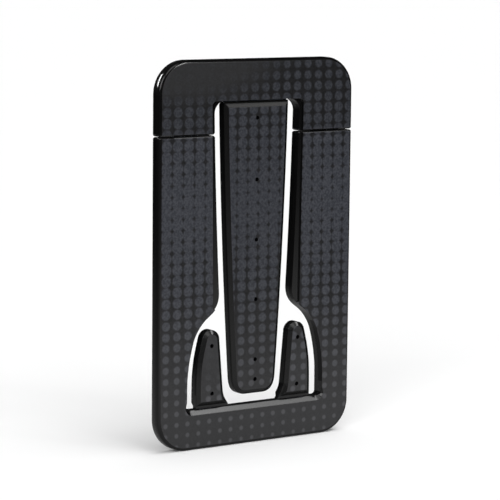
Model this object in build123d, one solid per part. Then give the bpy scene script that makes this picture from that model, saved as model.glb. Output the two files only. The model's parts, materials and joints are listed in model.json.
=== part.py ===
from build123d import *
import math
import os

# Slim pocket wallet: a flat plate with a clip cut into it.
# A head strip is hinged to the frame below it by two hidden spring leaves.  The long
# tongue flexes from the head, and two short fins flex from the frame's bottom bar.
# Every plastic piece is a front and a back shell, closed over steel and pins.
#
# X runs across the plate, Y through its thickness with the front face at -Y, Z up.
# The origin is under the middle of the bottom edge.  Sizes are in millimetres.
# "Depth" below is measured from the front face towards the back.

# Plate
WIDTH = 56.0
HEIGHT = 93.5
THICKNESS = 3.5
CORNER_RADIUS = 8.0
RIM_RADIUS = 0.75
MID_DEPTH = THICKNESS / 2

# Seam between frame and head
SEAM_HEIGHT = 75.6
SEAM_GAP = 0.22
SEAM_CHAMFER = 0.3
SEAM_NOTCH = 0.45

# Window that the tongue and fins stand in, as half widths
WINDOW_TOP = 83.65
WINDOW_BOTTOM = 9.5
WINDOW_HALF_TOP = 12.35
WINDOW_HALF_SEAM = 12.2
WINDOW_HALF_MIDDLE = 11.6
WINDOW_MIDDLE_HEIGHT = 57.0
WINDOW_HALF_WAIST = 10.7
WAIST_HEIGHT = 37.5
WINDOW_FLARE = ((12.05, 33.5), (15.1, 31.0), (17.5, 27.8), (18.75, 24.0))
WINDOW_FLARE_END = (0.25, -1)
WINDOW_HALF_FOOT = 19.9
FOOT_HEIGHT = 14.0
WINDOW_TOP_RADIUS = 3.0
WINDOW_FOOT_RADIUS = 0.9
LEDGE = 1.1
LEDGE_OVERRUN = 0.4
BACK_EDGE_CHAMFER = 0.2

# Shallow pocket in the front face around the window
POCKET_DEPTH = 0.45
POCKET_BOTTOM = 33.6
POCKET_HALF_TOP = 13.25
POCKET_HALF_BOTTOM = 12.7
POCKET_RADIUS = 1.2

# Bevel on the front edges of the tongue and fins
BEVEL_WIDTH = 1.0
BEVEL_DEPTH = 0.63
BACK_BEVEL = 0.35
GROOVE_DEPTH = POCKET_DEPTH + BEVEL_DEPTH
TONGUE_ROOT_SLOPE = 1.45
FLEX_GAP = 0.3

# Tongue
TONGUE_HALF_TOP = 9.35
TONGUE_HALF_MIDDLE = 8.2
TONGUE_MIDDLE_HEIGHT = 50.0
TONGUE_HALF_TIP = 6.25
TONGUE_TIP_HEIGHT = 16.2
TONGUE_BOTTOM = 12.0
TONGUE_TIP_RADIUS = 3.75
TONGUE_TOP = WINDOW_TOP - FLEX_GAP

# Fins
FIN_TOP = 28.6
FIN_TOP_CENTRE = 12.55
FIN_TOP_RADIUS = 2.45
FIN_LEAN = 15.0
FIN_OUTER_MIDDLE = (16.2, 21.2)
FIN_OUTER_FOOT = 16.7
FIN_INNER_FOOT = 9.0
FIN_FLARE = 1.8
FIN_FLARE_HEIGHT = 13.5
FIN_FLOOR = 0.6
FIN_BOTTOM = WINDOW_BOTTOM + 0.2

# Locating holes left in the front faces
HOLE_RADIUS = 0.5
TONGUE_HOLES = (79.3, 64.4, 49.8, 35.2, 20.4, 15.5)
FIN_HOLES = ((12.65, 24.8), (12.5, 13.15))

# Steel inside
SPRING_THICKNESS = 0.3
CORE_THICKNESS = 0.5
PIN_RADIUS = 0.6
PIN_COVER = 0.5
FIT = 0.05
PIN_FIT = 0.03
SPRING_FIT = 0.02

HINGE_LEAF_CENTRE = 20.2
HINGE_LEAF_WIDTH = 8.0
HINGE_LEAF_REACH = 9.0
HINGE_LEAF_CORNER = 1.0
HINGE_PIN_SPREAD = 2.2
HINGE_PIN_REACH = 6.2

TONGUE_SPRING_WIDTH = 9.0
TONGUE_SPRING_ROOT_WIDTH = 18.4
TONGUE_SPRING_ROOT_BELOW = 2.2
TONGUE_SPRING_ROOT_ABOVE = 1.2
TONGUE_SPRING_TOP = 89.5
TONGUE_SPRING_BOTTOM = 14.6
TONGUE_PIN_HEIGHTS = (72.0, 57.0, 42.5, 28.0)
TONGUE_ANCHOR_PINS = (-3.0, 3.0)
TONGUE_ANCHOR_HEIGHT = 87.2

FIN_SPRING_INNER = 10.4
FIN_SPRING_OUTER = 15.2
FIN_SPRING_TOP = 21.5
FIN_SPRING_BOTTOM = 5.6
FIN_PIN = (12.8, 18.6)
FIN_ANCHOR_PIN = (12.8, 7.4)

STEEL_CORNER = 0.8
CORE_MARGIN = 2.4
CORE_WINDOW_MARGIN = 2.0
CORE_LEG_TOP = 65.6
CORE_BAR_TOP = 5.0
FRAME_PINS = ((24.0, 6.5), (24.0, 22.0), (20.0, 42.0), (20.0, 58.0))
HEAD_CORE_BOTTOM = 85.4
HEAD_CORE_HALF = 23.5
HEAD_CORE_NOTCH_SIDE = 1.0
HEAD_CORE_NOTCH_TOP = 0.6
HEAD_PINS = ((10.5, 88.2), (18.5, 88.2))

RIGHT = 1
LEFT = -1

# How near an edge must lie to a level to be picked there
NEAR = 0.1
EXACT = 0.001


def slab(face, near, far):
    """Extrude a face drawn in X and Z from one depth to another."""
    start = Plane.XZ.offset(THICKNESS / 2 - near)
    return extrude(start * face, amount=near - far)


def both_sides(half):
    """Complete a half outline with its mirror image across the plate's centre line."""
    return half + mirror(half, about=Plane.YZ)


def on_side(face, side):
    """Keep a face drawn on the right, or mirror it to the left."""
    return face if side == RIGHT else mirror(face, about=Plane.YZ)


def rectangle(low_x, high_x, low_z, high_z):
    """A face between two X and two Z values."""
    centre = Pos((low_x + high_x) / 2, (low_z + high_z) / 2)
    return centre * Rectangle(high_x - low_x, high_z - low_z)


def dot(x, z, radius):
    """A round face."""
    return Pos(x, z) * Circle(radius)


def edges_at(part, depth):
    """Edges that lie wholly at one depth."""
    y = depth - THICKNESS / 2
    return part.edges().filter_by_position(Axis.Y, y - EXACT, y + EXACT)


# ---- outlines -------------------------------------------------------------

def window_face():
    """The opening: almost straight above the waist, flared wide around the fins."""
    corner_x = WINDOW_HALF_TOP - WINDOW_TOP_RADIUS
    corner_z = WINDOW_TOP - WINDOW_TOP_RADIUS
    foot_x = WINDOW_HALF_FOOT - WINDOW_FOOT_RADIUS
    foot_z = WINDOW_BOTTOM + WINDOW_FOOT_RADIUS
    top = Line((0, WINDOW_TOP), (corner_x, WINDOW_TOP))
    top_corner = JernArc(top @ 1, (1, 0), WINDOW_TOP_RADIUS, -90)
    side = ThreePointArc(
        top_corner @ 1, (WINDOW_HALF_MIDDLE, WINDOW_MIDDLE_HEIGHT), (WINDOW_HALF_WAIST, WAIST_HEIGHT),
    )
    flare = Spline(side @ 1, *WINDOW_FLARE, tangents=(side % 1, WINDOW_FLARE_END))
    hip = TangentArc(flare @ 1, (WINDOW_HALF_FOOT, FOOT_HEIGHT), tangent=flare % 1)
    foot = Line(hip @ 1, (WINDOW_HALF_FOOT, foot_z))
    foot_corner = JernArc(foot @ 1, (0, -1), WINDOW_FOOT_RADIUS, -90)
    bottom = Line(foot_corner @ 1, (0, WINDOW_BOTTOM))
    middle = Line(bottom @ 1, top @ 0)
    sides = [side, flare, hip, foot]
    return both_sides(make_face([top, top_corner, *sides, foot_corner, bottom, middle]))


def pocket_face():
    """The shallow recess around the upper part of the window."""
    half = make_face(Polyline(
        (0, WINDOW_TOP), (POCKET_HALF_TOP, WINDOW_TOP), (POCKET_HALF_BOTTOM, WAIST_HEIGHT),
        (POCKET_HALF_BOTTOM, POCKET_BOTTOM), (0, POCKET_BOTTOM), close=True,
    ))
    corner = half.vertices().sort_by(Axis.X)[-1]
    return both_sides(fillet(corner, POCKET_RADIUS))


def tongue_face():
    """A long strip that narrows to a round tip."""
    top = Line((0, TONGUE_TOP), (TONGUE_HALF_TOP, TONGUE_TOP))
    side = ThreePointArc(
        top @ 1, (TONGUE_HALF_MIDDLE, TONGUE_MIDDLE_HEIGHT), (TONGUE_HALF_TIP, TONGUE_TIP_HEIGHT),
    )
    flat = TONGUE_HALF_TIP - TONGUE_TIP_RADIUS
    tip = Spline(side @ 1, (flat, TONGUE_BOTTOM), tangents=(side % 1, (-1, 0)))
    bottom = Line(tip @ 1, (0, TONGUE_BOTTOM))
    middle = Line(bottom @ 1, top @ 0)
    return both_sides(make_face([top, side, tip, bottom, middle]))


def fin_face():
    """The right fin: a leaning shark-fin outline, flared at its inner root."""
    crown_z = FIN_TOP - FIN_TOP_RADIUS
    lean = math.radians(FIN_LEAN)
    inner_top = (FIN_TOP_CENTRE - FIN_TOP_RADIUS, crown_z)
    outer_top = (
        FIN_TOP_CENTRE + FIN_TOP_RADIUS * math.cos(lean), crown_z + FIN_TOP_RADIUS * math.sin(lean),
    )
    crown = ThreePointArc(inner_top, (FIN_TOP_CENTRE, FIN_TOP), outer_top)
    outer = Spline(
        outer_top, FIN_OUTER_MIDDLE, (FIN_OUTER_FOOT, FIN_FLARE_HEIGHT),
        tangents=(crown % 1, (0, -1)),
    )
    outer_foot = Line(outer @ 1, (FIN_OUTER_FOOT, FIN_BOTTOM))
    root = Line(outer_foot @ 1, (FIN_INNER_FOOT - FIN_FLARE, FIN_BOTTOM))
    flare = Spline(root @ 1, (FIN_INNER_FOOT, FIN_FLARE_HEIGHT), tangents=((0.5, 1), (0.1, 1)))
    inner = Line(flare @ 1, inner_top)
    return make_face([crown, outer, outer_foot, root, flare, inner])


# ---- steel inside ---------------------------------------------------------

def pin(x, z):
    """A blind dowel that ties a front shell, the steel and a back shell together."""
    return slab(dot(x, z, PIN_RADIUS), PIN_COVER, THICKNESS - PIN_COVER)


def tongue_pin(x, z):
    """A dowel that stops short of the recessed tongue and fin faces."""
    return slab(dot(x, z, PIN_RADIUS), POCKET_DEPTH + PIN_COVER, THICKNESS - PIN_COVER)


def pin_bore(x, z):
    """The bore for any of the dowels, as a solid right through."""
    return slab(dot(x, z, PIN_RADIUS + PIN_FIT), 0, THICKNESS)


def hinge_pin_places(side, direction):
    """The two dowels of one leaf, above the seam for +1 and below it for -1."""
    z = SEAM_HEIGHT + direction * HINGE_PIN_REACH
    return [(side * (HINGE_LEAF_CENTRE + dx), z) for dx in (-HINGE_PIN_SPREAD, HINGE_PIN_SPREAD)]


def mirrored(places):
    """Each place on the right, and the same place on the left."""
    return [(side * x, z) for side in (LEFT, RIGHT) for x, z in places]


def frame_pin_places():
    """Dowels of the frame: through its core, its leaves and the fin springs."""
    leaves = hinge_pin_places(LEFT, -1) + hinge_pin_places(RIGHT, -1)
    return mirrored(FRAME_PINS) + leaves


def head_pin_places():
    """Dowels of the head: through its core and its leaves."""
    leaves = hinge_pin_places(LEFT, 1) + hinge_pin_places(RIGHT, 1)
    return mirrored(HEAD_PINS) + leaves


def anchor_pin_places():
    """Dowels in the head that hold the tongue's spring."""
    return [(x, TONGUE_ANCHOR_HEIGHT) for x in TONGUE_ANCHOR_PINS]


def steel_plate(face, thickness, bores):
    """A flat steel piece at mid thickness, bored for its dowels."""
    plate = slab(face, MID_DEPTH - thickness / 2, MID_DEPTH + thickness / 2)
    for x, z in bores:
        plate -= pin_bore(x, z)
    return plate


def nest(face, thickness, clearance):
    """The room that the shells leave for a steel piece."""
    reach = thickness / 2 + clearance
    return slab(offset(face, FIT), MID_DEPTH - reach, MID_DEPTH + reach)


def hinge_leaf_face(side):
    """One leaf across the seam."""
    half = HINGE_LEAF_WIDTH / 2
    face = rectangle(
        HINGE_LEAF_CENTRE - half, HINGE_LEAF_CENTRE + half,
        SEAM_HEIGHT - HINGE_LEAF_REACH, SEAM_HEIGHT + HINGE_LEAF_REACH,
    )
    return on_side(fillet(face.vertices(), HINGE_LEAF_CORNER), side)


def tongue_spring_face():
    """A narrow strip down the tongue, wide where it crosses the groove at its root."""
    half = TONGUE_SPRING_WIDTH / 2
    strip = rectangle(-half, half, TONGUE_SPRING_BOTTOM, TONGUE_SPRING_TOP)
    root_half = TONGUE_SPRING_ROOT_WIDTH / 2
    root = rectangle(
        -root_half, root_half,
        TONGUE_TOP - TONGUE_SPRING_ROOT_BELOW, WINDOW_TOP + TONGUE_SPRING_ROOT_ABOVE,
    )
    return strip + root


def fin_spring_face(side):
    """A leaf from the bottom bar up into a fin."""
    face = rectangle(FIN_SPRING_INNER, FIN_SPRING_OUTER, FIN_SPRING_BOTTOM, FIN_SPRING_TOP)
    return on_side(fillet(face.vertices(), STEEL_CORNER), side)


def frame_core_face():
    """A U-shaped stiffener that runs down both legs and along the bottom bar."""
    plate = Pos(0, HEIGHT / 2) * RectangleRounded(
        WIDTH - 2 * CORE_MARGIN, HEIGHT - 2 * CORE_MARGIN, CORNER_RADIUS - CORE_MARGIN,
    )
    above = rectangle(-WIDTH, WIDTH, CORE_LEG_TOP, HEIGHT)
    leg_inside = POCKET_HALF_TOP + CORE_WINDOW_MARGIN
    foot_inside = WINDOW_HALF_FOOT + CORE_WINDOW_MARGIN
    upper = rectangle(-leg_inside, leg_inside, WAIST_HEIGHT, HEIGHT)
    lower = rectangle(-foot_inside, foot_inside, CORE_BAR_TOP, WAIST_HEIGHT)
    return plate - above - upper - lower


def head_core_face():
    """A bar along the head, notched around the end of the tongue's spring."""
    bar = rectangle(-HEAD_CORE_HALF, HEAD_CORE_HALF, HEAD_CORE_BOTTOM, HEIGHT - CORE_MARGIN)
    notch_half = TONGUE_SPRING_WIDTH / 2 + HEAD_CORE_NOTCH_SIDE
    notch_top = TONGUE_SPRING_TOP + HEAD_CORE_NOTCH_TOP
    notch = rectangle(-notch_half, notch_half, HEAD_CORE_BOTTOM, notch_top)
    return fillet(bar.vertices(), STEEL_CORNER) - notch


# ---- plastic shells -------------------------------------------------------

def whole_plate():
    """The rounded plate with its window, ledge and pocket, before it is split."""
    outline = Pos(0, HEIGHT / 2) * RectangleRounded(WIDTH, HEIGHT, CORNER_RADIUS)
    plate = slab(outline, 0, THICKNESS)
    rim = edges_at(plate, 0) + edges_at(plate, THICKNESS)
    plate = fillet(rim, RIM_RADIUS)
    plate -= slab(window_face(), 0, THICKNESS)
    back_edges = edges_at(plate, THICKNESS).filter_by_position(
        Axis.Z, WINDOW_BOTTOM - NEAR, WINDOW_TOP + NEAR,
    )
    window_edges = [edge for edge in back_edges if abs(edge.center().X) < WINDOW_HALF_FOOT + NEAR]
    plate = chamfer(window_edges, BACK_EDGE_CHAMFER)
    plate -= slab(pocket_face(), 0, POCKET_DEPTH)
    return plate - ledge_cut() - slab(seam_notches(), 0, THICKNESS)


def ledge_cut():
    """The sloped lead-in along the window's bottom edge, with a conical run-out at each end."""
    shift = THICKNESS / 2
    profile = make_face(Plane.YZ * Polyline(
        (-shift, WINDOW_BOTTOM - LEDGE), (-shift, WINDOW_BOTTOM), (LEDGE - shift, WINDOW_BOTTOM),
        close=True,
    ))
    half = WINDOW_HALF_FOOT + LEDGE_OVERRUN - LEDGE - WINDOW_FOOT_RADIUS
    cut = extrude(profile, amount=half, both=True)
    cone = Cone(WINDOW_FOOT_RADIUS, WINDOW_FOOT_RADIUS + LEDGE, LEDGE)
    for side in (LEFT, RIGHT):
        centre = Pos(side * half, LEDGE / 2 - shift, WINDOW_BOTTOM + WINDOW_FOOT_RADIUS)
        cut += centre * Rot(90, 0, 0) * cone
    return cut


def seam_notches():
    """Chamfers where the seam runs out to the plate's sides and to the window."""
    opening = SEAM_GAP / 2 + 2 * SEAM_NOTCH
    faces = []
    for edge_x, inward in ((WIDTH / 2, -SEAM_NOTCH), (WINDOW_HALF_SEAM, SEAM_NOTCH)):
        wedge = make_face(Polyline(
            (edge_x - inward, SEAM_HEIGHT - opening), (edge_x + inward, SEAM_HEIGHT - SEAM_GAP / 2),
            (edge_x + inward, SEAM_HEIGHT + SEAM_GAP / 2), (edge_x - inward, SEAM_HEIGHT + opening),
            close=True,
        ))
        faces += [wedge, mirror(wedge, about=Plane.YZ)]
    return Sketch() + faces


def region(low_z, high_z, near, far):
    """A block as wide as the plate between two heights and two depths."""
    return slab(rectangle(-WIDTH, WIDTH, low_z, high_z), near, far)


def with_seam_edges_broken(part, z, depth):
    """Chamfer the front or back edges along the seam."""
    seam = edges_at(part, depth).filter_by_position(Axis.Z, z - EXACT, z + EXACT)
    return chamfer(seam, SEAM_CHAMFER)


def frame_halves(plate):
    """The frame below the seam, as its front and back shells."""
    top = SEAM_HEIGHT - SEAM_GAP / 2
    inside = nest(frame_core_face(), CORE_THICKNESS, 0)
    for side in (LEFT, RIGHT):
        inside += nest(hinge_leaf_face(side), SPRING_THICKNESS, SPRING_FIT)
        inside += nest(fin_spring_face(side), SPRING_THICKNESS, SPRING_FIT)
    for x, z in frame_pin_places() + mirrored([FIN_ANCHOR_PIN]):
        inside += slab(dot(x, z, PIN_RADIUS + PIN_FIT), PIN_COVER, THICKNESS - PIN_COVER)
    frame = (plate & region(0, top, 0, THICKNESS)) - inside
    front = with_seam_edges_broken(frame & region(0, top, 0, MID_DEPTH), top, 0)
    back = with_seam_edges_broken(frame & region(0, top, MID_DEPTH, THICKNESS), top, THICKNESS)
    return front, back


def head_halves(plate):
    """The head above the seam, as its front and back shells."""
    bottom = SEAM_HEIGHT + SEAM_GAP / 2
    inside = nest(head_core_face(), CORE_THICKNESS, 0)
    inside += nest(tongue_spring_face(), SPRING_THICKNESS, SPRING_FIT)
    for side in (LEFT, RIGHT):
        inside += nest(hinge_leaf_face(side), SPRING_THICKNESS, SPRING_FIT)
    for x, z in head_pin_places() + anchor_pin_places():
        inside += slab(dot(x, z, PIN_RADIUS + PIN_FIT), PIN_COVER, THICKNESS - PIN_COVER)
    head = (plate & region(bottom, HEIGHT, 0, THICKNESS)) - inside
    front = with_seam_edges_broken(head & region(bottom, HEIGHT, 0, MID_DEPTH), bottom, 0)
    back = with_seam_edges_broken(
        head & region(bottom, HEIGHT, MID_DEPTH, THICKNESS), bottom, THICKNESS,
    )
    return front, back


def tongue_halves():
    """The tongue's front and back shells, bevelled all round."""
    front = slab(tongue_face(), POCKET_DEPTH, MID_DEPTH)
    face = front.faces().sort_by(Axis.Y)[0]
    front = chamfer(face.edges(), BEVEL_WIDTH, BEVEL_DEPTH, reference=face)
    front -= tongue_root_cut(POCKET_DEPTH, GROOVE_DEPTH, TONGUE_ROOT_SLOPE)
    back = slab(tongue_face(), MID_DEPTH, THICKNESS)
    back_edges = edges_at(back, THICKNESS)
    top_edges = back_edges.filter_by_position(Axis.Z, TONGUE_TOP - EXACT, TONGUE_TOP + EXACT)
    back = chamfer([edge for edge in back_edges if edge not in top_edges], BACK_BEVEL)
    back -= tongue_root_cut(THICKNESS, THICKNESS - GROOVE_DEPTH, BEVEL_WIDTH)
    inside = nest(tongue_spring_face(), SPRING_THICKNESS, SPRING_FIT)
    for z in TONGUE_PIN_HEIGHTS:
        inside += slab(
            dot(0, z, PIN_RADIUS + PIN_FIT), POCKET_DEPTH + PIN_COVER, THICKNESS - PIN_COVER,
        )
    for z in TONGUE_HOLES:
        front -= slab(dot(0, z, HOLE_RADIUS), 0, MID_DEPTH)
    return front - inside, back - inside


def tongue_root_cut(face_depth, valley_depth, slope):
    """The slope across the tongue's root that lets it flex, on the front or the back."""
    shift = THICKNESS / 2
    profile = make_face(Plane.YZ * Polyline(
        (face_depth - shift, TONGUE_TOP - slope), (face_depth - shift, TONGUE_TOP),
        (valley_depth - shift, TONGUE_TOP), close=True,
    ))
    return extrude(profile, amount=WIDTH / 2, both=True)


def fin_root_cut(face_depth, floor_depth):
    """The flat-floored groove that thins a fin's root."""
    shift = THICKNESS / 2
    floor_top = FIN_BOTTOM + FIN_FLOOR
    profile = make_face(Plane.YZ * Polyline(
        (face_depth - shift, FIN_BOTTOM), (floor_depth - shift, FIN_BOTTOM),
        (floor_depth - shift, floor_top), (face_depth - shift, floor_top + BEVEL_WIDTH), close=True,
    ))
    return extrude(profile, amount=WIDTH / 2, both=True)


def fin_halves(side):
    """A fin's front and back shells."""
    face = on_side(fin_face(), side)
    front = slab(face, POCKET_DEPTH, MID_DEPTH)
    front_face = front.faces().sort_by(Axis.Y)[0]
    above_root = [edge for edge in front_face.edges() if edge.center().Z > FIN_BOTTOM + NEAR]
    front = chamfer(above_root, BEVEL_WIDTH, BEVEL_DEPTH, reference=front_face)
    front -= fin_root_cut(POCKET_DEPTH, GROOVE_DEPTH)
    back = slab(face, MID_DEPTH, THICKNESS)
    rear = [edge for edge in edges_at(back, THICKNESS) if edge.center().Z > FIN_BOTTOM + NEAR]
    back = chamfer(rear, BACK_BEVEL) - fin_root_cut(THICKNESS, THICKNESS - GROOVE_DEPTH)
    inside = nest(fin_spring_face(side), SPRING_THICKNESS, SPRING_FIT)
    pin_x, pin_z = FIN_PIN
    inside += slab(
        dot(side * pin_x, pin_z, PIN_RADIUS + PIN_FIT), POCKET_DEPTH + PIN_COVER, THICKNESS - PIN_COVER,
    )
    for x, z in FIN_HOLES:
        front -= slab(dot(side * x, z, HOLE_RADIUS), 0, MID_DEPTH)
    return front - inside, back - inside


# ---- assembly -------------------------------------------------------------

def build_parts():
    """Every node of the wallet by name."""
    parts = {}
    plate = whole_plate()
    parts["frame_front_shell"], parts["frame_back_shell"] = frame_halves(plate)
    parts["frame_core"] = steel_plate(frame_core_face(), CORE_THICKNESS, mirrored(FRAME_PINS))
    parts["frame_pins"] = Compound([pin(x, z) for x, z in frame_pin_places()])

    parts["head_front_shell"], parts["head_back_shell"] = head_halves(plate)
    parts["head_core"] = steel_plate(head_core_face(), CORE_THICKNESS, mirrored(HEAD_PINS))
    parts["head_pins"] = Compound([pin(x, z) for x, z in head_pin_places()])
    parts["tongue_anchor_pins"] = Compound([pin(x, z) for x, z in anchor_pin_places()])

    parts["tongue_front_shell"], parts["tongue_back_shell"] = tongue_halves()
    centre_places = [(0, z) for z in TONGUE_PIN_HEIGHTS]
    parts["tongue_spring"] = steel_plate(
        tongue_spring_face(), SPRING_THICKNESS, centre_places + anchor_pin_places(),
    )
    parts["tongue_pins"] = Compound([tongue_pin(x, z) for x, z in centre_places])

    for side, name in ((LEFT, "left"), (RIGHT, "right")):
        leaf_places = hinge_pin_places(side, 1) + hinge_pin_places(side, -1)
        parts[f"{name}_hinge_leaf"] = steel_plate(hinge_leaf_face(side), SPRING_THICKNESS, leaf_places)
        pin_x, pin_z = FIN_PIN
        anchor_x, anchor_z = FIN_ANCHOR_PIN
        parts[f"{name}_fin_front_shell"], parts[f"{name}_fin_back_shell"] = fin_halves(side)
        parts[f"{name}_fin_spring"] = steel_plate(
            fin_spring_face(side), SPRING_THICKNESS, [(side * pin_x, pin_z), (side * anchor_x, anchor_z)],
        )
        parts[f"{name}_fin_pin"] = tongue_pin(side * pin_x, pin_z)
        parts[f"{name}_fin_anchor_pin"] = pin(side * anchor_x, anchor_z)
    return parts


def main():
    os.makedirs("parts", exist_ok=True)
    for name, shape in build_parts().items():
        export_step(shape, f"parts/{name}.step")


main()
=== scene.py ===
import json
import math

import bmesh
import bpy
from mathutils import Matrix, Quaternion, Vector


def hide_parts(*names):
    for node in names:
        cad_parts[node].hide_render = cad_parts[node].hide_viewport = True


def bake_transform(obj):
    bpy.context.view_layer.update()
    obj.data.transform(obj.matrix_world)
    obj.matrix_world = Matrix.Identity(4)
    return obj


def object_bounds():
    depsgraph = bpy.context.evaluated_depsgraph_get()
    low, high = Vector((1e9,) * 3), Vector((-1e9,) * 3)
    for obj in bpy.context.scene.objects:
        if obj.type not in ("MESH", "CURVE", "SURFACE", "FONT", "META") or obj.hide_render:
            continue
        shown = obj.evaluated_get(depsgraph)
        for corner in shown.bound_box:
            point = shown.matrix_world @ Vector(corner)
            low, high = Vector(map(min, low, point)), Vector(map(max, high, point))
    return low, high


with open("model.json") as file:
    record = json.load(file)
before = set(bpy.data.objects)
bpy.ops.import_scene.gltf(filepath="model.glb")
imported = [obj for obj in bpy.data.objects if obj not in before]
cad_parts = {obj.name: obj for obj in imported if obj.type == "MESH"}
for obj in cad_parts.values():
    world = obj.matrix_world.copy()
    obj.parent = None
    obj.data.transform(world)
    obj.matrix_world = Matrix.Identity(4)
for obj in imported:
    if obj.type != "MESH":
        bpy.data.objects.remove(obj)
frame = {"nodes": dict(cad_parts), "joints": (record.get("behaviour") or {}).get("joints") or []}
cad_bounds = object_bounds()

# Lengths are in metres.  The lens and its sensor are in millimetres, as Blender has them.
MM = 0.001

# ---- what the frame says -----------------------------------------------------

plate_low, plate_high = cad_bounds
PLATE_MIDDLE = (plate_low + plate_high) / 2
FRONT_Y = plate_low.y
PLATE_HEIGHT = plate_high.z - plate_low.z

# ---- camera ------------------------------------------------------------------

CAMERA_AZIMUTH = math.radians(-34.3)
CAMERA_ELEVATION = math.radians(7.57)
CAMERA_ROLL = math.radians(0.56)
CAMERA_DISTANCE = 559.0 * MM
AIM_RIGHT = -1.76 * MM
AIM_UP = 0.54 * MM
LENS = 166.4
SENSOR = 36.0
CLIP_START = 0.01
CLIP_END = 10.0

# ---- dot print ---------------------------------------------------------------

DOT_PITCH_X = 3.11 * MM
DOT_PITCH_Z = 2.67 * MM
DOT_SHIFT_X = 0.45 * MM
DOT_SHIFT_Z = -0.09 * MM
DOT_LARGEST = 1.75 * MM
DOT_LARGEST_HEIGHT = 58.7 * MM
DOT_SHRINK = 0.0226
DOT_EDGE = 0.24 * MM
PLATE_PRINT_DEPTH = 0.3 * MM
CLIP_PRINT_DEPTH = 0.6 * MM
# Painted light from the white table: the print and its ground grow paler from this height down to the
# foot.
FLOOR_GLOW_PAINTED_FROM = 42 * MM
FLOOR_GLOW_PAINTED_TO = 0 * MM
# Patches where the print fades and the ground is lifted: part wear, part a painted sheen of reflected
# light.
WEAR_AND_SHEEN_PATCHES = (
    # centre x, centre z, reach along x, reach along z
    (-21 * MM, 94 * MM, 33 * MM, 13 * MM),
    (-12.4 * MM, 24 * MM, 7 * MM, 12 * MM),
)
WEAR_AND_SHEEN_FULLY_WITHIN = 0.5
PRINT_LEFT_UNDER_WEAR_AND_SHEEN = 0.12
FORWARD_FROM = 0.985
FORWARD_FULL = 0.998
CLOUD_SCALE = 60.0
CLOUD_DETAIL = 4.0
SPECKLE_SCALE = 1900.0
SPECKLE_DETAIL = 3.0
SPECKLE_FROM = 0.33
SPECKLE_FULL = 0.67
SPECKLE_SHARE = 0.12

GROUND_DARK = (0.001, 0.001, 0.0012, 1)
GROUND_LIGHT = (0.005, 0.005, 0.006, 1)
# Painted light from the white table: the ground colour at the foot.
GROUND_PAINTED_FLOOR_GLOW = (0.026, 0.026, 0.027, 1)
# Painted sheen: the ground colour where the print is worn.
GROUND_PAINTED_SHEEN = (0.018, 0.018, 0.019, 1)
GROUND_SPECKLE = (0.05, 0.05, 0.055, 1)
INK_DARK = (0.021, 0.023, 0.029, 1)
INK_LIGHT = (0.041, 0.043, 0.051, 1)
# Painted light from the white table: the dots' colour at the foot.
INK_PAINTED_FLOOR_GLOW = (0.058, 0.058, 0.062, 1)
GROUND_ROUGHNESS = 0.34
INK_ROUGHNESS = 0.30

# ---- plain plastic -----------------------------------------------------------

GLOSS_BLACK = (0.004, 0.004, 0.004, 1)
PLATE_SIDE_ROUGHNESS = 0.13
CLIP_SIDE_ROUGHNESS = 0.22
SIDE_SPECULAR = 0.35
FACE_SPECULAR = 0.26
MATT_WALL_SPECULAR = 0.12
MATT_WALL_HALF = 21 * MM
MATT_WALL_FOOT = 13 * MM
SIDEWAYS = 0.85

BACK_DARK = (0.010, 0.010, 0.011, 1)
BACK_LIGHT = (0.015, 0.015, 0.017, 1)
BACK_SMOOTHEST = 0.30
BACK_ROUGHEST = 0.38
BACKWARD_FROM = 0.90
BACKWARD_FULL = 0.985
BACK_CLOUD_SCALE = 45.0

# ---- steel: dark lines, light lines, roughness ---------------------------------

CORE_FINISH = (0.34, 0.35, 0.36, 1), (0.46, 0.47, 0.49, 1), 0.32
SPRING_FINISH = (0.05, 0.055, 0.07, 1), (0.10, 0.105, 0.12, 1), 0.28
DOWEL_FINISH = (0.42, 0.43, 0.44, 1), (0.55, 0.56, 0.58, 1), 0.25
LINE_SCALE = 4000.0
LINE_DETAIL = 2.0
LINE_STRETCH = (1.0, 1.0, 0.03)
LINE_ROUGHER = 0.12

# ---- surface grain: noise scale, noise detail, depth, strength ------------------

FACE_GRAIN = 9000.0, 2.0, 0.006 * MM, 0.35
BACK_GRAIN = 5200.0, 3.0, 0.01 * MM, 0.35
LINE_DEPTH = 0.004 * MM
LINE_STRENGTH = 0.5

# ---- edges: the crown is on the plate's outer edge only -------------------------

EDGE_RADIUS = 0.18 * MM
EDGE_SAMPLES = 6
CROWN_RADIUS = 5.0 * MM
# The crown acts further than this from the plate's middle, across and along.
CROWN_BESIDE = 24.0 * MM
CROWN_BEYOND = 43.0 * MM

# ---- springs -------------------------------------------------------------------

BEND_REACH = 1.5 * MM
BEND_SLICES = 4

# ---- room ----------------------------------------------------------------------

ROOM_LIGHT = (0.315, 0.315, 0.315, 1)
BACKDROP = (1, 1, 1, 1)
DARK_STUDIO = (0.02, 0.02, 0.021, 1)
LAMP_DISTANCE = 0.6
SUN_DISTANCE = 1.0

# ---- table ---------------------------------------------------------------------

FLOOR_REACH = 6.0
FLOOR_GAP = 0.05 * MM
FLOOR_ROUGHNESS = 0.6
FLOOR_WHITE = (0.95, 0.95, 0.95, 1)
# A painted pool of light on the table, brighter than white by the plate, for all rays but the camera's.
PAINTED_POOL_X = 40 * MM
PAINTED_POOL_Y = -130 * MM
PAINTED_POOL_REACH = 150 * MM
PAINTED_POOL_BRIGHT = 1.3


# ---- node helpers ------------------------------------------------------------

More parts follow.
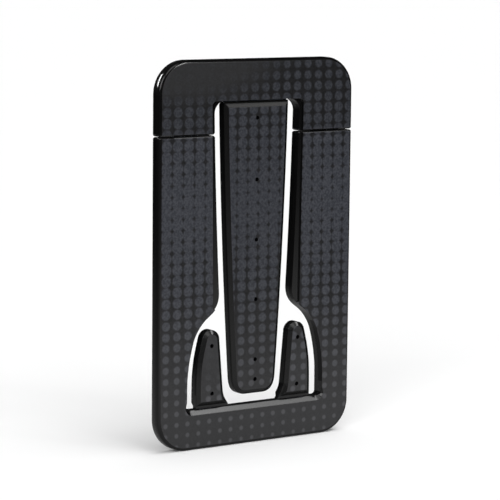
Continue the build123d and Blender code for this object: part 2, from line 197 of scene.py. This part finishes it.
class Nodes:
    """A material's node tree, with one short call for each kind of node used here."""

    def __init__(self, name):
        self.material = bpy.data.materials.new(name)
        self.material.use_nodes = True
        self.tree = self.material.node_tree
        self.tree.nodes.clear()
        self.shader = self.tree.nodes.new("ShaderNodeBsdfPrincipled")
        output = self.tree.nodes.new("ShaderNodeOutputMaterial")
        self.tree.links.new(self.shader.outputs[0], output.inputs["Surface"])

    def feed(self, socket, value):
        """Link an output to a socket, or set the socket to a plain value."""
        if isinstance(value, bpy.types.NodeSocket):
            self.tree.links.new(value, socket)
        else:
            socket.default_value = value

    def set(self, **values):
        """Set or link the shader's sockets; underscores stand for spaces."""
        for name, value in values.items():
            self.feed(self.shader.inputs[name.replace("_", " ")], value)

    def math(self, operation, *inputs):
        """A sum, product or comparison."""
        node = self.tree.nodes.new("ShaderNodeMath")
        node.operation = operation
        for socket, value in zip(node.inputs, inputs):
            self.feed(socket, value)
        return node.outputs[0]

    def ramp(self, value, low, high):
        """0 where value is low, 1 where it is high, with a smooth step between."""
        node = self.tree.nodes.new("ShaderNodeMapRange")
        node.interpolation_type = "SMOOTHSTEP"
        self.feed(node.inputs["From Min"], low)
        self.feed(node.inputs["From Max"], high)
        self.feed(node.inputs["Value"], value)
        return node.outputs[0]

    def mix(self, share, first, second):
        """A colour between two others."""
        node = self.tree.nodes.new("ShaderNodeMix")
        node.data_type = "RGBA"
        self.feed(node.inputs["Factor"], share)
        self.feed(node.inputs["A"], first)
        self.feed(node.inputs["B"], second)
        return node.outputs["Result"]

    def blend(self, share, first, second):
        """A number between two others."""
        node = self.tree.nodes.new("ShaderNodeMix")
        node.data_type = "FLOAT"
        self.feed(node.inputs["Factor"], share)
        self.feed(node.inputs["A"], first)
        self.feed(node.inputs["B"], second)
        return node.outputs["Result"]

    def place(self):
        """The point in the row frame, in metres, as x, y and z."""
        coordinates = self.tree.nodes.new("ShaderNodeTexCoord")
        split = self.tree.nodes.new("ShaderNodeSeparateXYZ")
        self.tree.links.new(coordinates.outputs["Object"], split.inputs[0])
        return split.outputs

    def facing(self):
        """The surface normal in the piece's own frame, as x, y and z."""
        coordinates = self.tree.nodes.new("ShaderNodeTexCoord")
        split = self.tree.nodes.new("ShaderNodeSeparateXYZ")
        self.tree.links.new(coordinates.outputs["Normal"], split.inputs[0])
        return split.outputs

    def noise(self, scale, detail, stretch=(1.0, 1.0, 1.0)):
        """Fine irregular variation from 0 to 1."""
        coordinates = self.tree.nodes.new("ShaderNodeTexCoord")
        mapping = self.tree.nodes.new("ShaderNodeMapping")
        mapping.inputs["Scale"].default_value = stretch
        self.tree.links.new(coordinates.outputs["Object"], mapping.inputs["Vector"])
        node = self.tree.nodes.new("ShaderNodeTexNoise")
        node.inputs["Scale"].default_value = scale
        node.inputs["Detail"].default_value = detail
        self.tree.links.new(mapping.outputs[0], node.inputs["Vector"])
        return node.outputs["Fac"]

    def soft_edges(self):
        """The surface normal with the sharp edges slightly rounded."""
        bevel = self.tree.nodes.new("ShaderNodeBevel")
        bevel.samples = EDGE_SAMPLES
        bevel.inputs["Radius"].default_value = EDGE_RADIUS
        return bevel.outputs[0]

    def crowned(self, normal):
        """The plate's outer edge bulges slightly across its thickness."""
        x, y, z = self.place()
        beside = self.math("GREATER_THAN", self.math("ABSOLUTE", x), CROWN_BESIDE)
        from_middle = self.math("ABSOLUTE", self.math("SUBTRACT", z, PLATE_HEIGHT / 2))
        beyond = self.math("GREATER_THAN", from_middle, CROWN_BEYOND)
        bulge = self.math("DIVIDE", self.math("POWER", y, 2.0), -2.0 * CROWN_RADIUS)
        return self.bump(bulge, 1.0, self.math("MAXIMUM", beside, beyond), normal)

    def bump(self, height, distance, strength, normal):
        """Relief on top of a surface normal."""
        node = self.tree.nodes.new("ShaderNodeBump")
        node.inputs["Distance"].default_value = distance
        self.feed(node.inputs["Strength"], strength)
        self.tree.links.new(height, node.inputs["Height"])
        self.tree.links.new(normal, node.inputs["Normal"])
        return node.outputs[0]


# ---- materials ---------------------------------------------------------------

def dot_mask(nodes):
    """1 inside a printed dot and 0 between dots; the dots are largest at one height."""
    x, _, z = nodes.place()
    squares = []
    for axis, pitch, shift in ((x, DOT_PITCH_X, DOT_SHIFT_X), (z, DOT_PITCH_Z, DOT_SHIFT_Z)):
        cell = nodes.math("DIVIDE", nodes.math("SUBTRACT", axis, shift), pitch)
        away = nodes.math("SUBTRACT", nodes.math("FRACT", cell), 0.5)
        squares.append(nodes.math("POWER", nodes.math("MULTIPLY", away, pitch), 2.0))
    distance = nodes.math("SQRT", nodes.math("ADD", *squares))
    from_largest = nodes.math("ABSOLUTE", nodes.math("SUBTRACT", z, DOT_LARGEST_HEIGHT))
    radius = nodes.math("SUBTRACT", DOT_LARGEST, nodes.math("MULTIPLY", from_largest, DOT_SHRINK))
    inside = nodes.math("SUBTRACT", radius, distance)
    return nodes.ramp(inside, -DOT_EDGE, DOT_EDGE)


def wear_and_sheen_mask(nodes):
    """1 where the print has almost rubbed away and a sheen is painted on the ground, at the head's top
    left and on the left fin.
    """
    x, _, z = nodes.place()
    masks = []
    for middle_x, middle_z, reach_x, reach_z in WEAR_AND_SHEEN_PATCHES:
        across = nodes.math("DIVIDE", nodes.math("SUBTRACT", x, middle_x), reach_x)
        along = nodes.math("DIVIDE", nodes.math("SUBTRACT", z, middle_z), reach_z)
        squares = [nodes.math("POWER", part, 2.0) for part in (across, along)]
        share_of_reach = nodes.math("SQRT", nodes.math("ADD", *squares))
        masks.append(nodes.ramp(share_of_reach, 1.0, WEAR_AND_SHEEN_FULLY_WITHIN))
    return nodes.math("MAXIMUM", *masks)


def gloss_level(nodes, front):
    """The shader's specular level: low on the walls inside the window, higher everywhere else."""
    x, _, z = nodes.place()
    inside = nodes.math("LESS_THAN", nodes.math("ABSOLUTE", x), MATT_WALL_HALF)
    above_foot = nodes.math("GREATER_THAN", z, MATT_WALL_FOOT)
    sideways = nodes.math("GREATER_THAN", nodes.math("ABSOLUTE", nodes.facing()[0]), SIDEWAYS)
    matt = nodes.math("MULTIPLY", nodes.math("MULTIPLY", inside, above_foot), sideways)
    gloss = nodes.blend(front, SIDE_SPECULAR, FACE_SPECULAR)
    return nodes.blend(matt, gloss, MATT_WALL_SPECULAR)


def ground_colour(nodes, low, wear_and_sheen, speckle):
    """The colour between the dots: the plate's own clouded colour, painted paler near its foot as light
    from the table, and lifted by a painted sheen where the print is worn.
    """
    ground = nodes.mix(nodes.noise(CLOUD_SCALE, CLOUD_DETAIL), GROUND_DARK, GROUND_LIGHT)
    ground = nodes.mix(low, ground, GROUND_PAINTED_FLOOR_GLOW)
    ground = nodes.mix(wear_and_sheen, ground, GROUND_PAINTED_SHEEN)
    return nodes.mix(speckle, ground, nodes.mix(SPECKLE_SHARE, ground, GROUND_SPECKLE))


def ink_colour(nodes, low, speckle):
    """The dots' colour, painted paler near the plate's foot as light from the table."""
    return nodes.mix(low, nodes.mix(speckle, INK_DARK, INK_LIGHT), INK_PAINTED_FLOOR_GLOW)


def grain(nodes, scale, detail, depth, strength):
    """Fine moulded texture over the soft edges and the crowned outer edge."""
    return nodes.bump(nodes.noise(scale, detail), depth, strength, nodes.crowned(nodes.soft_edges()))


def printed_plastic(name, print_depth, side_roughness):
    """Satin charcoal with a tone-on-tone dot print on what faces forward, gloss black elsewhere."""
    nodes = Nodes(name)
    forward = nodes.ramp(nodes.math("MULTIPLY", nodes.facing()[1], -1.0), FORWARD_FROM, FORWARD_FULL)
    shallow = nodes.math("LESS_THAN", nodes.place()[1], FRONT_Y + print_depth)
    front = nodes.math("MULTIPLY", forward, shallow)
    # Wear and a painted sheen: the print fades and the ground is lifted in these patches.
    wear_and_sheen = wear_and_sheen_mask(nodes)
    dots = nodes.math("MULTIPLY", dot_mask(nodes), nodes.blend(wear_and_sheen, 1.0, PRINT_LEFT_UNDER_WEAR_AND_SHEEN))
    speckle = nodes.ramp(nodes.noise(SPECKLE_SCALE, SPECKLE_DETAIL), SPECKLE_FROM, SPECKLE_FULL)
    # Painted light from the white table: 1 at the foot, 0 from the given height up.
    low = nodes.ramp(nodes.place()[2], FLOOR_GLOW_PAINTED_FROM, FLOOR_GLOW_PAINTED_TO)
    face = nodes.mix(dots, ground_colour(nodes, low, wear_and_sheen, speckle), ink_colour(nodes, low, speckle))
    face_roughness = nodes.blend(dots, GROUND_ROUGHNESS, INK_ROUGHNESS)
    nodes.set(
        Base_Color=nodes.mix(front, GLOSS_BLACK, face),
        Roughness=nodes.blend(front, side_roughness, face_roughness),
        Specular_IOR_Level=gloss_level(nodes, front),
        Normal=grain(nodes, *FACE_GRAIN),
    )
    return nodes.material


def moulded_black():
    """Fine satin moulded plastic for the backs, with the same gloss black sides as the fronts."""
    nodes = Nodes("moulded_black")
    cloud = nodes.noise(BACK_CLOUD_SCALE, CLOUD_DETAIL)
    backward = nodes.ramp(nodes.facing()[1], BACKWARD_FROM, BACKWARD_FULL)
    back_roughness = nodes.blend(cloud, BACK_SMOOTHEST, BACK_ROUGHEST)
    nodes.set(
        Base_Color=nodes.mix(backward, GLOSS_BLACK, nodes.mix(cloud, BACK_DARK, BACK_LIGHT)),
        Roughness=nodes.blend(backward, PLATE_SIDE_ROUGHNESS, back_roughness),
        Specular_IOR_Level=SIDE_SPECULAR,
        Normal=grain(nodes, *BACK_GRAIN),
    )
    return nodes.material


def strip_steel(name, dark, light, roughness):
    """Rolled steel strip, with its fine lines along the plate's height."""
    nodes = Nodes(name)
    lines = nodes.noise(LINE_SCALE, LINE_DETAIL, LINE_STRETCH)
    nodes.set(
        Base_Color=nodes.mix(lines, dark, light),
        Metallic=1.0,
        Roughness=nodes.blend(lines, roughness, roughness + LINE_ROUGHER),
        Normal=nodes.bump(lines, LINE_DEPTH, LINE_STRENGTH, nodes.soft_edges()),
    )
    return nodes.material


def paint_cad_nodes():
    """Give every CAD node its finish by what it is."""
    plate_print = printed_plastic("printed_plate", PLATE_PRINT_DEPTH, PLATE_SIDE_ROUGHNESS)
    clip_print = printed_plastic("printed_clip", CLIP_PRINT_DEPTH, CLIP_SIDE_ROUGHNESS)
    core = strip_steel("core_steel", *CORE_FINISH)
    spring = strip_steel("spring_steel", *SPRING_FINISH)
    dowel = strip_steel("dowel_steel", *DOWEL_FINISH)
    # The first ending that fits a node's name decides.
    by_ending = (
        ("frame_front_shell", plate_print),
        ("head_front_shell", plate_print),
        ("front_shell", clip_print),
        ("back_shell", moulded_black()),
        ("core", core),
        ("spring", spring),
        ("leaf", spring),
        ("pin", dowel),
        ("pins", dowel),
    )
    for name, node in frame["nodes"].items():
        material = next(found for ending, found in by_ending if name.endswith(ending))
        node.data.materials.clear()
        node.data.materials.append(material)


# ---- springs -----------------------------------------------------------------

def sliced(mesh, height):
    """A copy of a strip's mesh, cut across on both sides of a height so that it can bend there."""
    work = bmesh.new()
    work.from_mesh(mesh)
    for step in range(-BEND_SLICES, BEND_SLICES + 1):
        cut = Vector((0, 0, height + step * BEND_REACH / BEND_SLICES))
        everything = work.verts[:] + work.edges[:] + work.faces[:]
        bmesh.ops.bisect_plane(work, geom=everything, plane_co=cut, plane_no=(0, 0, 1))
    copy = mesh.copy()
    work.to_mesh(copy)
    work.free()
    return copy


def bend_springs():
    """Each spring strip is swapped for a copy cut across at its joint, where the straight CAD strip
    would cut its pocket.

    Every child stands above its joint, except the tongue, which hangs below.
    """
    for joint in frame["joints"]:
        pivot = Vector(joint["pos_m"])
        for entry in joint["deforming_nodes"]:
            name = entry["node"]
            strip = bpy.data.objects.new("bending_" + name, sliced(frame["nodes"][name].data, pivot.z))
            link(strip)
            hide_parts(name)
            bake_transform(strip)


# ---- studio ------------------------------------------------------------------

def place_camera():
    """The photograph's viewing angle, with its small roll."""
    back = Vector((
        math.sin(CAMERA_AZIMUTH) * math.cos(CAMERA_ELEVATION),
        -math.cos(CAMERA_AZIMUTH) * math.cos(CAMERA_ELEVATION),
        math.sin(CAMERA_ELEVATION),
    ))
    level_right = (-back).cross(Vector((0, 0, 1))).normalized()
    level_up = level_right.cross(-back)
    right = level_right * math.cos(CAMERA_ROLL) + level_up * math.sin(CAMERA_ROLL)
    up = level_up * math.cos(CAMERA_ROLL) - level_right * math.sin(CAMERA_ROLL)
    face_middle = Vector((PLATE_MIDDLE.x, FRONT_Y, PLATE_MIDDLE.z))
    location = face_middle + right * AIM_RIGHT + up * AIM_UP + back * CAMERA_DISTANCE
    data = bpy.data.cameras.new("camera")
    data.lens = LENS
    data.sensor_width = SENSOR
    data.clip_start = CLIP_START
    data.clip_end = CLIP_END
    camera = bpy.data.objects.new("camera", data)
    camera.matrix_world = Matrix((
        (right.x, up.x, back.x, location.x),
        (right.y, up.y, back.y, location.y),
        (right.z, up.z, back.z, location.z),
        (0, 0, 0, 1),
    ))
    link(camera)
    bpy.context.scene.camera = camera


def link(thing):
    """Put an object into the scene."""
    bpy.context.scene.collection.objects.link(thing)


def aim(lamp, direction, distance, roll=0.0):
    """Put a lamp in one direction from the plate, facing the plate's middle, rolled by some degrees."""
    away = Vector(direction).normalized()
    turn = Quaternion((0, 0, 1), math.radians(roll))
    lamp.location = PLATE_MIDDLE + away * distance
    lamp.rotation_euler = (away.to_track_quat("Z", "Y") @ turn).to_euler()


def softbox(name, direction, size, power, roll=0.0):
    """A rectangular area light that looks at the middle of the plate."""
    data = bpy.data.lights.new(name, "AREA")
    data.shape = "RECTANGLE"
    data.size, data.size_y = size
    data.energy = power
    lamp = bpy.data.objects.new(name, data)
    aim(lamp, direction, LAMP_DISTANCE, roll)
    link(lamp)
    return lamp


def soft_sun(name, direction, spread, strength):
    """Even light from a wide patch of sky, so the table is equally bright everywhere."""
    data = bpy.data.lights.new(name, "SUN")
    data.angle = math.radians(spread)
    data.energy = strength
    lamp = bpy.data.objects.new(name, data)
    aim(lamp, direction, SUN_DISTANCE)
    link(lamp)
    return lamp


def light_only(lamp, pieces):
    """Flag off a lamp, so that it reaches only some of the pieces."""
    reached = bpy.data.collections.new(lamp.name + "_reaches")
    for piece in pieces:
        reached.objects.link(piece)
    lamp.light_linking.receiver_collection = reached


def light_studio(floor):
    """Soft daylight from above, the front and the left, and small flagged lamps for the highlights."""
    nodes = frame["nodes"]
    head = [nodes["head_front_shell"], nodes["head_back_shell"]]
    fins = [nodes["left_fin_front_shell"], nodes["right_fin_front_shell"]]
    all_but_head_front = [node for name, node in nodes.items() if name != "head_front_shell"]

    overhead = soft_sun("overhead", (0.20, -0.10, 0.97), spread=45, strength=1.35)
    light_only(overhead, all_but_head_front + [floor])
    soft_sun("front_window", (-0.08, -0.70, 0.71), spread=35, strength=0.65)
    soft_sun("left_fill", (-0.68, -0.60, 0.42), spread=35, strength=1.3)

    edge_light = softbox("edge_light", (0.56, -0.11, 0.80), size=(0.30, 0.30), power=1.1)
    light_only(edge_light, all_but_head_front)
    glint = softbox("corner_glint", (-0.45, 0.70, 0.42), size=(0.26, 0.06), power=1.7, roll=-48)
    light_only(glint, head)
    ledge_spark = softbox("ledge_spark", (-0.30, -0.40, 0.86), size=(0.12, 0.12), power=1.6)
    light_only(ledge_spark, fins + [nodes["frame_front_shell"]])
    crown_glow = softbox("crown_glow", (0.56, -0.48, 0.68), size=(0.12, 0.12), power=0.7)
    light_only(crown_glow, fins)
    root_glow = softbox("root_glow", (0.56, -0.48, 0.68), size=(0.20, 0.20), power=0.35)
    light_only(root_glow, [nodes["tongue_front_shell"]])
    softbox("front_glow", (0.42, -0.86, 0.27), size=(0.08, 0.08), power=0.5)


def background(tree, colour):
    """One plain background colour."""
    node = tree.nodes.new("ShaderNodeBackground")
    node.inputs["Color"].default_value = colour
    return node.outputs[0]


def choose(tree, test, otherwise, chosen):
    """One background where a light path test holds and another where it doesn't."""
    node = tree.nodes.new("ShaderNodeMixShader")
    for socket, value in zip(node.inputs, (test, otherwise, chosen)):
        tree.links.new(value, socket)
    return node.outputs[0]


def white_surround():
    """A white backdrop and even room light; what shines sees a dark studio."""
    world = bpy.data.worlds.new("studio")
    world.use_nodes = True
    tree = world.node_tree
    tree.nodes.clear()
    ray = tree.nodes.new("ShaderNodeLightPath")
    room = background(tree, ROOM_LIGHT)
    unseen = choose(tree, ray.outputs["Is Diffuse Ray"], background(tree, DARK_STUDIO), room)
    surround = choose(tree, ray.outputs["Is Camera Ray"], unseen, background(tree, BACKDROP))
    output = tree.nodes.new("ShaderNodeOutputWorld")
    tree.links.new(surround, output.inputs["Surface"])
    bpy.context.scene.world = world


def table_top():
    """White to the camera; what the plate reflects of it and is lit by is a painted pool of light that
    fades to dark away from the plate.
    """
    nodes = Nodes("table_top")
    x, y, _ = nodes.place()
    # A painted pool of light around the plate, fading with distance.
    aside = nodes.math("POWER", nodes.math("SUBTRACT", x, PAINTED_POOL_X), 2.0)
    ahead = nodes.math("POWER", nodes.math("SUBTRACT", y, PAINTED_POOL_Y), 2.0)
    far = nodes.math("SQRT", nodes.math("ADD", aside, ahead))
    fade = nodes.math("EXPONENT", nodes.math("DIVIDE", far, -PAINTED_POOL_REACH))
    painted_pool = nodes.math("MULTIPLY", fade, PAINTED_POOL_BRIGHT)
    ray = nodes.tree.nodes.new("ShaderNodeLightPath")
    nodes.set(
        Base_Color=nodes.mix(ray.outputs["Is Camera Ray"], painted_pool, FLOOR_WHITE),
        Roughness=FLOOR_ROUGHNESS,
        Specular_IOR_Level=0.0,
    )
    return nodes.material


def lay_floor():
    """A wide white table top."""
    mesh = bpy.data.meshes.new("floor")
    reach = FLOOR_REACH
    corners = [(-reach, -reach, 0), (reach, -reach, 0), (reach, reach, 0), (-reach, reach, 0)]
    mesh.from_pydata(corners, [], [(0, 1, 2, 3)])
    mesh.materials.append(table_top())
    floor = bpy.data.objects.new("floor", mesh)
    floor.location.z = plate_low.z - FLOOR_GAP
    link(floor)
    return floor


place_camera()
white_surround()
light_studio(lay_floor())
paint_cad_nodes()
bend_springs()
bpy.context.scene.view_settings.view_transform = "Standard"
